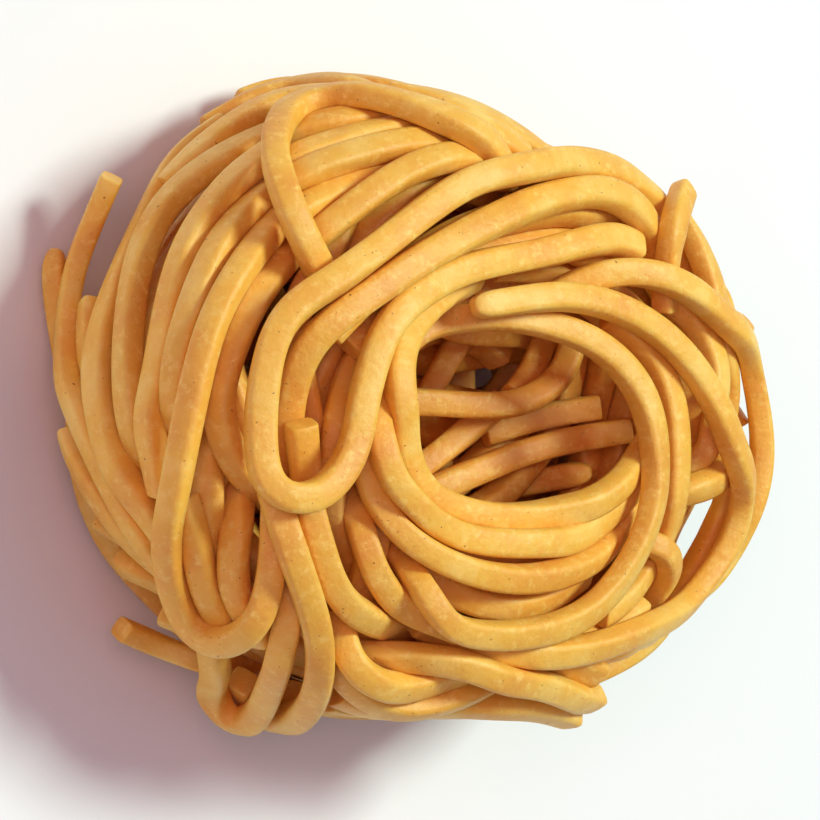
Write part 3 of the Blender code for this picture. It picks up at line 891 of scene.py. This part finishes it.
    def _pull_back(self, places: np.ndarray, strands: Strands) -> np.ndarray:
        """Spreads each shift from the route along its noodle, and lessens it.

        Args:
            places: One place a row.
            strands: What belongs to each place.

        Returns:
            The places, nearer their routes.
        """
        toward = self.view.axes[2]
        shift = places - strands.target
        shift = (1 - self.spread) * shift + 0.5 * self.spread * strands.neighbours(shift)
        depth = (shift @ toward)[:, None] * toward
        kept = (shift - depth) * (1 - self.pull_sideways) + depth * (1 - self.pull_along_view)
        return strands.target + np.where(strands.shown[:, None], kept,
                                         shift * (1 - self.pull_hidden))

    def _keep_in(self, places: np.ndarray, strands: Strands) -> np.ndarray:
        """Keeps all noodles in the solid's box, and hidden ones out of sight and off the floor.

        Args:
            places: One place a row.
            strands: What belongs to each place.

        Returns:
            The places kept in.
        """
        shift = (*self.view.form.shift, 0.0)
        low = np.array(CAD_BOX[0]) / MM - shift + self.box_inset
        high = np.array(CAD_BOX[1]) / MM - shift - self.box_inset
        places = self._keep_deep(np.clip(places, low, high), strands)
        places = self._keep_out_of_bowl(places, strands.shown)
        places = self._keep_out_of_gaps(places, strands.shown)
        return np.maximum(places, (-np.inf, -np.inf, self.floor_gap))

    def _keep_deep(self, places: np.ndarray, strands: Strands) -> np.ndarray:
        """Keeps hidden noodles below the form, and lower where the view sees them.

        Args:
            places: One place a row.
            strands: What belongs to each place.

        Returns:
            The places kept in.
        """
        form = self.view.form
        offset = places - self.view.middle
        length = np.linalg.norm(offset, axis=1) + TINY
        out = form.outward(places)
        in_view = np.clip((out @ self.view.axes[2] - self.in_view_from) / self.in_view_range, 0, 1)
        more = in_view * (self.inner_depth_in_view - self.inner_depth)
        depth = np.where(strands.inner, self.inner_depth + more, in_view * self.outer_depth)
        lean = np.maximum(self.least_lean, (offset * out).sum(axis=1) / length)
        allowed = length / form.value(places) ** (1 / form.power) - depth / lean
        scale = np.where(strands.shown, 1.0, np.minimum(1.0, allowed / length))
        return self.view.middle + offset * scale[:, None]

    def _keep_out_of_bowl(self, places: np.ndarray, shown: np.ndarray) -> np.ndarray:
        """Takes hidden noodles out to the bowl's wall.

        Args:
            places: One place a row.
            shown: Which of them belong to shown noodles.

        Returns:
            The places kept out.
        """
        reach = np.array(self.bowl.radii)
        inward = (places - self.bowl.middle) / reach
        share = np.linalg.norm(inward, axis=1)
        grow = np.where((share < 1) & ~shown, 1 / np.maximum(share, self.least_share), 1.0)
        return self.bowl.middle + inward * grow[:, None] * reach

    def _keep_out_of_gaps(self, places: np.ndarray, shown: np.ndarray) -> np.ndarray:
        """Takes hidden noodles out of the gaps that the view looks through and in from the flats.

        Args:
            places: One place a row.
            shown: Which of them belong to shown noodles.

        Returns:
            The places kept out.
        """
        right, up, _ = self.view.axes
        local = self.view.seen(places)
        for across, height, wide, tall, turn in self.gaps:
            c, s = math.cos(turn), math.sin(turn)
            du, dv = local[:, 0] - across, local[:, 1] - height
            x, y = c * du + s * dv, c * dv - s * du
            inside = np.hypot(x / (wide + self.gap_edge), y / (tall + self.gap_edge))
            grow = np.where((inside < 1) & ~shown, 1 / np.maximum(inside, self.least_inside) - 1, 0.0)
            x, y = self.gap_pull * x * grow, self.gap_pull * y * grow
            places = places + (c * x - s * y)[:, None] * right + (s * x + c * y)[:, None] * up
        for across, height, limit in self.flats:
            over = np.where(shown, 0.0, across * local[:, 0] + height * local[:, 1] - limit)
            places = places - np.maximum(over, 0.0)[:, None] * (across * right + height * up)
        return places


@dataclass
class Section:
    """The noodle's rounded square section, how it changes along the noodle, and its ends.

    Each end is how far in every ring lies and how large it is beside a full one.
    """

    thickness_share: float = 0.88
    cage_growth: float = 1.04
    soft: float = 0.76
    twist: float = math.radians(9)
    twist_waves: tuple[float, float] = (9.0, 4.3)
    second_twist: float = 0.7
    uneven: float = 0.035
    uneven_waves: tuple[float, float] = (5.0, 7.0)
    least_uneven: float = 0.4
    size_spread: float = 0.03
    rim: float = 0.28
    cut_end: tuple[tuple[float, float], ...] = ((0.0, 0.80), (0.02, 0.97), (0.28, 1.0))
    round_end: tuple[tuple[float, float], ...] = (
        (0.0, 0.28), (0.22, 0.58), (0.75, 0.84), (1.7, 1.0))

    def outline(self) -> np.ndarray:
        """The cage's corners for a half width of one.

        Returns:
            Side and lift of each corner.
        """
        w, t, s = self.cage_growth, self.cage_growth * self.thickness_share, self.soft
        return np.array([(w, t * s), (w * s, t), (-w * s, t), (-w, t * s),
                         (-w, -t * s), (-w * s, -t), (w * s, -t), (w, -t * s)])

    def changes(self, noodle: Noodle, runs: np.ndarray,
                draw: np.random.Generator) -> tuple[np.ndarray, np.ndarray, np.ndarray]:
        """How the section turns and swells along a noodle.

        Args:
            noodle: The noodle.
            runs: How far along it each of its places lies.
            draw: Source of its unevenness.

        Returns:
            Its turn, its half width, and the half width that its half thickness is a share of.
        """
        starts = draw.uniform(0, math.tau, 4)
        turn = np.sin(runs / self.twist_waves[0] + starts[0])
        turn = turn + self.second_twist * np.sin(runs / self.twist_waves[1] + starts[1])
        swell = np.sin(runs / self.uneven_waves[0] + starts[2]) * draw.uniform(self.least_uneven, 1)
        size = noodle.width / 2 * draw.uniform(1 - self.size_spread, 1 + self.size_spread)
        wide = size * (1 + self.uneven * swell)
        thick = wide * (1 + self.uneven * np.sin(runs / self.uneven_waves[1] + starts[3]))
        return self.twist * turn, wide, thick

    def stations(self, noodle: Noodle, runs: np.ndarray) -> tuple[np.ndarray, np.ndarray]:
        """Where the rings lie along a noodle, and how large each is.

        Args:
            noodle: The noodle.
            runs: How far along it each of its places lies.

        Returns:
            The rings' places along it, and their sizes beside a full one.
        """
        ends = {End.CUT: np.array(self.cut_end), End.ROUND: np.array(self.round_end)}
        start, stop = ends[noodle.first_end], ends[noodle.last_end][::-1]
        first, last = start[-1, 0] + self.rim, runs[-1] - stop[0, 0] - self.rim
        between = runs[(runs > first) & (runs < last)]
        at = np.concatenate([start[:, 0], between, runs[-1] - stop[:, 0]])
        return at, np.concatenate([start[:, 1], np.ones(len(between)), stop[:, 1]])


def rows_at(at: np.ndarray, runs: np.ndarray, values: np.ndarray) -> np.ndarray:
    """Rows of values between places along a line.

    Args:
        at: Where rows are wanted.
        runs: Where the given rows lie.
        values: The given rows.

    Returns:
        One row for each wanted place.
    """
    return np.column_stack([np.interp(at, runs, column) for column in values.T])


@dataclass
class NoodleMesher:
    """Sweeps the section along settled noodles and joins them into pieces.

    The cage is made from places because the noodles' lines come out of the settling, and no one
    curve or primitive has them. Blender then rounds it.
    """

    section: Section
    form: NestForm
    # Depth below the form, in millimetres, at which the painted shade is full.
    shade_depth: float = 9.0
    furthest_start: float = 500.0
    seed: int = 21

    def piece(self, layer: Layer, noodles: list[Noodle], settled: Settled) -> bpy.types.Object:
        """One piece out of the noodles of one layer.

        Args:
            layer: The layer.
            noodles: The noodles of all layers.
            settled: Their places and facing directions.

        Returns:
            The finished mesh object.
        """
        cages, strand, tones, faces = [], [], [], []
        count = 0
        draw = np.random.default_rng(self.seed + len(layer.value))
        for noodle, (places, normals) in zip(noodles, settled):
            if noodle.layer is not layer:
                continue
            rings, runs = self._rings(noodle, places, normals, draw)
            cages.append(rings.reshape(-1, 3))
            tones.append(np.full(len(rings) * SIDES, draw.uniform(0, 1)))
            start = draw.uniform(0, self.furthest_start)
            around = np.tile(np.arange(SIDES) / SIDES, len(rings))
            strand.append(np.column_stack([np.repeat(runs + start, SIDES), around]))
            faces.extend(self._faces(count, len(rings)))
            count += SIDES * len(rings)
        cage = np.vstack(cages)
        mesh = bpy.data.meshes.new(layer.value)
        mesh.from_pydata(((cage + (*self.form.shift, 0.0)) * MM).tolist(), [], faces)
        # Painted shade: how deep each cage corner lies below the form, as a share, sets how far its
        # colour is tinted redder and darker to stand in for shade deep in the nest.
        painted_shade = np.clip(self.form.depth(cage) / self.shade_depth, 0.0, 1.0)
        self._write(mesh, np.vstack(strand), {"tone": np.concatenate(tones), "painted_shade": painted_shade})
        made = bpy.data.objects.new(layer.value, mesh)
        bpy.context.scene.collection.objects.link(made)
        self._finish(made)
        return made

    def _rings(self, noodle: Noodle, places: np.ndarray, normals: np.ndarray,
               draw: np.random.Generator) -> tuple[np.ndarray, np.ndarray]:
        """The cage's rings along one noodle, ends included.

        Args:
            noodle: The noodle.
            places: Its places.
            normals: The direction that its flat side faces at each.
            draw: Source of its unevenness.

        Returns:
            The rings, and how far along the noodle each lies.
        """
        section = self.section
        steps = np.linalg.norm(np.diff(places, axis=0), axis=1)
        runs = np.concatenate([[0.0], np.cumsum(steps)])
        along = np.gradient(places, axis=0)
        along /= np.linalg.norm(along, axis=1, keepdims=True)
        lift = normals - (normals * along).sum(axis=1, keepdims=True) * along
        lift /= np.linalg.norm(lift, axis=1, keepdims=True)
        side = np.cross(along, lift)
        turn, wide, thick = section.changes(noodle, runs, draw)
        c, s = np.cos(turn)[:, None], np.sin(turn)[:, None]
        side, lift = c * side + s * lift, c * lift - s * side
        at, scale = section.stations(noodle, runs)
        outline = section.outline()
        rings = rows_at(at, runs, places)[:, None]
        for half, direction, corners in ((wide, side, outline[:, 0]), (thick, lift, outline[:, 1])):
            reach = (np.interp(at, runs, half) * scale)[:, None] * corners
            rings = rings + reach[..., None] * rows_at(at, runs, direction)[:, None]
        rings[..., 2] = np.maximum(rings[..., 2], 0.0)
        return rings, at

    def _faces(self, first: int, rings: int) -> list[list[int]]:
        """The cage's faces along one noodle, turned outward, with its two end faces.

        Args:
            first: The number of its first corner.
            rings: How many rings it has.

        Returns:
            The corners of each face.
        """
        base = first + SIDES * np.arange(rings - 1)[:, None]
        around = np.arange(SIDES)[None]
        onward = (around + 1) % SIDES
        following = base + SIDES
        quads = np.stack([following + around, following + onward, base + onward, base + around],
                         axis=-1)
        last = first + SIDES * (rings - 1)
        return [*quads.reshape(-1, 4).tolist(), [first + k for k in range(SIDES)],
                [last + k for k in reversed(range(SIDES))]]

    def _write(self, mesh: bpy.types.Mesh, strand: np.ndarray,
               tone_and_painted_shade: dict[str, np.ndarray]) -> None:
        """Writes the way along and round each noodle as UVs, and its random tone and painted shade as
        attributes.

        Args:
            mesh: The mesh.
            strand: The way along and round, by corner of the cage.
            tone_and_painted_shade: A number for each corner of the cage, by attribute: the random tone
                of each noodle, and the share of painted shade.
        """
        corners = np.empty(len(mesh.loops), np.int32)
        mesh.loops.foreach_get("vertex_index", corners)
        layer = mesh.uv_layers.new(name="strand")
        layer.data.foreach_set("uv", strand[corners].astype(np.float32).ravel())
        for name, values in tone_and_painted_shade.items():
            attribute = mesh.attributes.new(name, "FLOAT", "POINT")
            attribute.data.foreach_set("value", values.astype(np.float32))

    def _finish(self, made: bpy.types.Object) -> None:
        """Rounds the cage and shades it smooth.

        Args:
            made: The cage's object.
        """
        bpy.ops.object.select_all(action="DESELECT")
        made.select_set(True)
        bpy.context.view_layer.objects.active = made
        rounding = made.modifiers.new("rounding", "SUBSURF")
        rounding.levels = rounding.render_levels = 1
        bpy.ops.object.modifier_apply(modifier=rounding.name)
        bpy.ops.object.shade_smooth()


@dataclass
class NodeKit:
    """Adds the nodes of one material."""

    material: bpy.types.Material

    def _add(self, kind: str, **values: float) -> bpy.types.ShaderNode:
        """A node with some of its values set.

        Args:
            kind: What node it is.
            values: Values by the name of the input.

        Returns:
            The node.
        """
        node = self.material.node_tree.nodes.new(kind)
        for name, value in values.items():
            node.inputs[name].default_value = value
        return node

    def link(self, source: bpy.types.NodeSocket, target: bpy.types.NodeSocket) -> None:
        """Links two sockets."""
        self.material.node_tree.links.new(source, target)

    def noise(self, kind: Triple) -> bpy.types.NodeSocket:
        """A noise on object coordinates.

        Args:
            kind: Its scale, detail and roughness.

        Returns:
            The noise's value.
        """
        scale, detail, rough = kind
        node = self._add("ShaderNodeTexNoise", Scale=scale, Detail=detail, Roughness=rough)
        self.link(self._add("ShaderNodeTexCoord").outputs["Object"], node.inputs["Vector"])
        return node.outputs["Fac"]

    def attribute(self, name: str) -> bpy.types.NodeSocket:
        """The value of one of the mesh's attributes.

        Args:
            name: The attribute's name.

        Returns:
            Its value.
        """
        node = self._add("ShaderNodeAttribute")
        node.attribute_name = name
        return node.outputs["Fac"]

    def ramp(self, source: bpy.types.NodeSocket, *stops: tuple[float, Triple]
             ) -> bpy.types.NodeSocket:
        """Colours by a value.

        Args:
            source: The value.
            stops: Values and the colours that they get.

        Returns:
            The colour.
        """
        node = self._add("ShaderNodeValToRGB")
        while len(node.color_ramp.elements) < len(stops):
            node.color_ramp.elements.new(0.5)
        for element, (position, colour) in zip(node.color_ramp.elements, stops):
            element.position = position
            element.color = (*colour, 1.0)
        self.link(source, node.inputs["Fac"])
        return node.outputs["Color"]

    def mix(self, kind: str, share: bpy.types.NodeSocket | float, base: bpy.types.NodeSocket,
            over: bpy.types.NodeSocket | Triple) -> bpy.types.NodeSocket:
        """Two colours mixed.

        Args:
            kind: How they are mixed.
            share: How much of the second.
            base: The first colour.
            over: The second colour.

        Returns:
            The mixed colour.
        """
        node = self._add("ShaderNodeMix")
        node.data_type, node.blend_type = "RGBA", kind
        for key, value in ((0, share), (6, base), (7, over)):
            if isinstance(value, bpy.types.NodeSocket):
                self.link(value, node.inputs[key])
            else:
                node.inputs[key].default_value = value if key == 0 else (*value, 1.0)
        return node.outputs[2]

    def bump(self, height: bpy.types.NodeSocket, strength: float, distance: float
             ) -> bpy.types.ShaderNode:
        """A bump.

        Args:
            height: What it is raised by.
            strength: Its strength.
            distance: Its height.

        Returns:
            The bump's node.
        """
        node = self._add("ShaderNodeBump", Strength=strength, Distance=distance)
        self.link(height, node.inputs["Height"])
        return node


@dataclass(frozen=True)
class PastaFinish:
    """Dry egg pasta: golden, floury, pitted and a little see-through at its edges, with painted shade
    deep in the nest.

    Each noise is its scale, detail and roughness.
    """

    name: str = "dry_pasta"
    deep: Triple = (0.82, 0.35, 0.05)
    golden: Triple = (0.88, 0.46, 0.066)
    pale: Triple = (0.93, 0.58, 0.15)
    speck: Triple = (0.30, 0.10, 0.02)
    darkest_noodle: Triple = (0.90, 0.86, 0.80)
    # Painted shade: the tint that the colour is multiplied by deep in the nest.
    painted_shade_colour: Triple = (1.0, 0.90, 1.0)
    roughness: float = 0.50
    specular: float = 0.5
    glow: float = 0.25
    glow_radius: Triple = (1.0, 0.45, 0.12)
    glow_scale: float = 0.0012
    patch_noise: Triple = (160.0, 4, 0.55)
    patch_levels: Triple = (0.30, 0.52, 0.72)
    # Depth shares at which the painted shade starts and is full.
    painted_shade_levels: tuple[float, float] = (0.12, 0.75)
    flour_noise: Triple = (900.0, 6, 0.70)
    flour_levels: tuple[float, float] = (0.52, 0.72)
    speck_noise: Triple = (2600.0, 2, 0.55)
    speck_levels: tuple[float, float] = (0.245, 0.285)
    pit_noise: Triple = (1700.0, 6, 0.65)
    pit_depth: float = 0.0002
    swell_noise: Triple = (420.0, 3, 0.55)
    swell_depth: float = 0.0006
    bump_strength: float = 0.35

    def material(self) -> bpy.types.Material:
        """Builds the material.

        Returns:
            The material.
        """
        made = bpy.data.materials.new(self.name)
        made.use_nodes = True
        shader = made.node_tree.nodes["Principled BSDF"]
        shader.inputs["Roughness"].default_value = self.roughness
        shader.inputs["Subsurface Weight"].default_value = self.glow
        shader.inputs["Subsurface Radius"].default_value = self.glow_radius
        shader.inputs["Subsurface Scale"].default_value = self.glow_scale
        shader.inputs["Specular IOR Level"].default_value = self.specular
        kit = NodeKit(made)
        kit.link(self._colour(kit), shader.inputs["Base Color"])
        pits = kit.bump(kit.noise(self.pit_noise), self.bump_strength, self.pit_depth)
        swell = kit.bump(kit.noise(self.swell_noise), self.bump_strength, self.swell_depth)
        kit.link(swell.outputs["Normal"], pits.inputs["Normal"])
        kit.link(pits.outputs["Normal"], shader.inputs["Normal"])
        return made

    def _colour(self, kit: NodeKit) -> bpy.types.NodeSocket:
        """The colour: patches, a tone for each noodle, painted shade that tints it redder and darker
        deep in the nest, flour and specks.

        Args:
            kit: Adds the material's nodes.

        Returns:
            The colour.
        """
        black, white = (0.0, 0.0, 0.0), (1.0, 1.0, 1.0)
        low, middle, high = self.patch_levels
        colour = kit.ramp(kit.noise(self.patch_noise), (low, self.deep), (middle, self.golden),
                          (high, self.pale))
        by_noodle = kit.ramp(kit.attribute("tone"), (0.0, self.darkest_noodle), (1.0, white))
        colour = kit.mix("MULTIPLY", 1.0, colour, by_noodle)
        # Painted shade: the colour is tinted redder and darker where the noodles lie deep below the
        # form.
        shade = kit.ramp(kit.attribute("painted_shade"), (self.painted_shade_levels[0], white),
                         (self.painted_shade_levels[1], self.painted_shade_colour))
        colour = kit.mix("MULTIPLY", 1.0, colour, shade)
        flour = kit.ramp(kit.noise(self.flour_noise), (self.flour_levels[0], black),
                         (self.flour_levels[1], white))
        colour = kit.mix("MIX", flour, colour, self.pale)
        specks = kit.ramp(kit.noise(self.speck_noise), (self.speck_levels[0], white),
                          (self.speck_levels[1], black))
        return kit.mix("MIX", specks, colour, self.speck)


@dataclass
class Core:
    """A plain ring-shaped body deep inside, so that no gap between noodles shows daylight.

    Its reaches are shares of the form's radii.
    """

    form: NestForm
    middle_reach: float = 0.745
    half_reach: float = 0.095
    half_rise: float = 6.0
    drop: float = 1.5
    swells: tuple[float, float] = (0.05, 0.04)
    swells_around: int = 5
    swells_up: float = 20.0
    segments: tuple[int, int] = (64, 20)

    def build(self) -> bpy.types.Object:
        """Makes the ring, stretched to the form and a little uneven.

        Returns:
            The ring.
        """
        bpy.ops.object.select_all(action="DESELECT")
        bpy.ops.mesh.primitive_torus_add(
            major_segments=self.segments[0], minor_segments=self.segments[1],
            major_radius=self.middle_reach * MM, minor_radius=self.half_reach * MM,
            location=(0, 0, 0))
        made = bpy.context.active_object
        made.name = made.data.name = "hidden_core"
        (wide, deep), (dx, dy) = self.form.radii, self.form.shift
        for vertex in made.data.vertices:
            x, y, z = vertex.co / MM
            reach = math.hypot(x, y)
            swell = 1 + self.swells[0] * math.sin(self.swells_around * math.atan2(y, x))
            swell += self.swells[1] * math.cos(self.swells_up * z)
            share = (self.middle_reach + (reach - self.middle_reach) * swell) / reach
            rise = z / self.half_reach * self.half_rise * swell
            vertex.co = Vector((x * wide * share + dx, y * deep * share + dy,
                                self.form.half_height - self.drop + rise)) * MM
        bpy.ops.object.shade_smooth()
        return made


@dataclass(frozen=True)
class Lamp:
    """A square soft light that faces the nest, placed by right, up and towards the camera."""

    name: str
    direction: Triple
    distance: float
    size: float
    power: float
    colour: Triple

    def build(self, axes: np.ndarray) -> None:
        """Makes the light.

        Args:
            axes: Right, up and towards the camera, one a row.
        """
        data = bpy.data.lights.new(self.name, "AREA")
        data.shape, data.size = "SQUARE", self.size
        data.energy, data.color = self.power, self.colour
        lamp = bpy.data.objects.new(self.name, data)
        toward = Vector(np.array(self.direction) @ axes).normalized()
        turn = toward.to_track_quat("Z", "Y").to_matrix().to_4x4()
        lamp.matrix_world = Matrix.Translation(toward * self.distance) @ turn
        bpy.context.scene.collection.objects.link(lamp)


@dataclass
class Studio:
    """Pale floor, soft light and the camera."""

    view: View
    floor_half: float = 1.6
    floor_colour: Triple = (0.86, 0.82, 0.88)
    floor_roughness: float = 0.9
    clip: tuple[float, float] = (0.05, 20.0)
    sky_colour: Triple = (0.86, 0.88, 1.0)
    sky_strength: float = 0.31
    lamps: tuple[Lamp, ...] = (
        Lamp("key", (0.82, 0.30, 0.48), 1.0, 0.26, 9.4, (0.80, 1.0, 0.84)),
        Lamp("fill", (0.0, 0.1, 1.0), 1.1, 0.5, 2.9, (1.0, 0.52, 0.52)),
    )

    def build(self) -> None:
        """Makes the floor, the camera, the lights and the dim sky."""
        self._floor()
        self._camera()
        for lamp in self.lamps:
            lamp.build(self.view.axes)
        self._sky()

    def _floor(self) -> None:
        """The pale floor."""
        bpy.ops.object.select_all(action="DESELECT")
        bpy.ops.mesh.primitive_plane_add(size=2 * self.floor_half, location=(0, 0, 0))
        floor = bpy.context.active_object
        floor.name = "studio_floor"
        material = bpy.data.materials.new("pale_floor")
        material.use_nodes = True
        shader = material.node_tree.nodes["Principled BSDF"]
        shader.inputs["Base Color"].default_value = (*self.floor_colour, 1.0)
        shader.inputs["Roughness"].default_value = self.floor_roughness
        floor.data.materials.append(material)

    def _camera(self) -> None:
        """The camera at the photograph's angle, with the nest's upper edge up in the picture."""
        view = self.view
        right, up, toward = (Vector(axis) for axis in view.axes)
        data = bpy.data.cameras.new("camera")
        data.sensor_width = view.sensor
        data.lens = view.pixels_per_mm * view.sensor * view.distance / view.frame_pixels
        data.clip_start, data.clip_end = self.clip
        camera = bpy.data.objects.new("camera", data)
        place = Vector(view.middle) + toward * view.distance + right * view.aim[0] + up * view.aim[1]
        place += Vector((*view.form.shift, 0.0))
        turn = Matrix((right, up, toward)).transposed().to_4x4()
        camera.matrix_world = Matrix.Translation(place * MM) @ turn
        bpy.context.scene.collection.objects.link(camera)
        bpy.context.scene.camera = camera

    def _sky(self) -> None:
        """The dim sky, and colours as they are."""
        world = bpy.data.worlds.new("sky")
        world.use_nodes = True
        background = world.node_tree.nodes["Background"]
        background.inputs["Color"].default_value = (*self.sky_colour, 1.0)
        background.inputs["Strength"].default_value = self.sky_strength
        bpy.context.scene.world = world
        bpy.context.scene.view_settings.view_transform = "Standard"


@dataclass
class Nest:
    """The whole nest: shown noodles, hidden windings and the core."""

    view: View
    form: NestForm
    bowl: Bowl = Bowl()

    def build(self) -> list[bpy.types.Object]:
        """Settles the noodles and makes the pieces.

        Returns:
            The pieces.
        """
        noodles = ShownNoodles(self.view).noodles()
        noodles += HiddenWindings(self.form, self.bowl).noodles()
        settled = Settler(self.view, self.bowl).settle(noodles)
        mesher = NoodleMesher(Section(), self.form)
        pieces = [mesher.piece(layer, noodles, settled) for layer in Layer]
        pieces.append(Core(self.form).build())
        finish = PastaFinish().material()
        for piece in pieces:
            piece.data.materials.clear()
            piece.data.materials.append(finish)
            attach(piece, BODY)
            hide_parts(NODE)
            LOG.info("%s: %d faces", piece.name, len(piece.data.polygons))
        return pieces


def main() -> None:
    """Builds the nest and the studio."""
    logging.basicConfig(level=logging.INFO, format="%(message)s")
    form = NestForm()
    view = View(form)
    Nest(view, form).build()
    Studio(view).build()


if __name__ == "__main__":
    main()
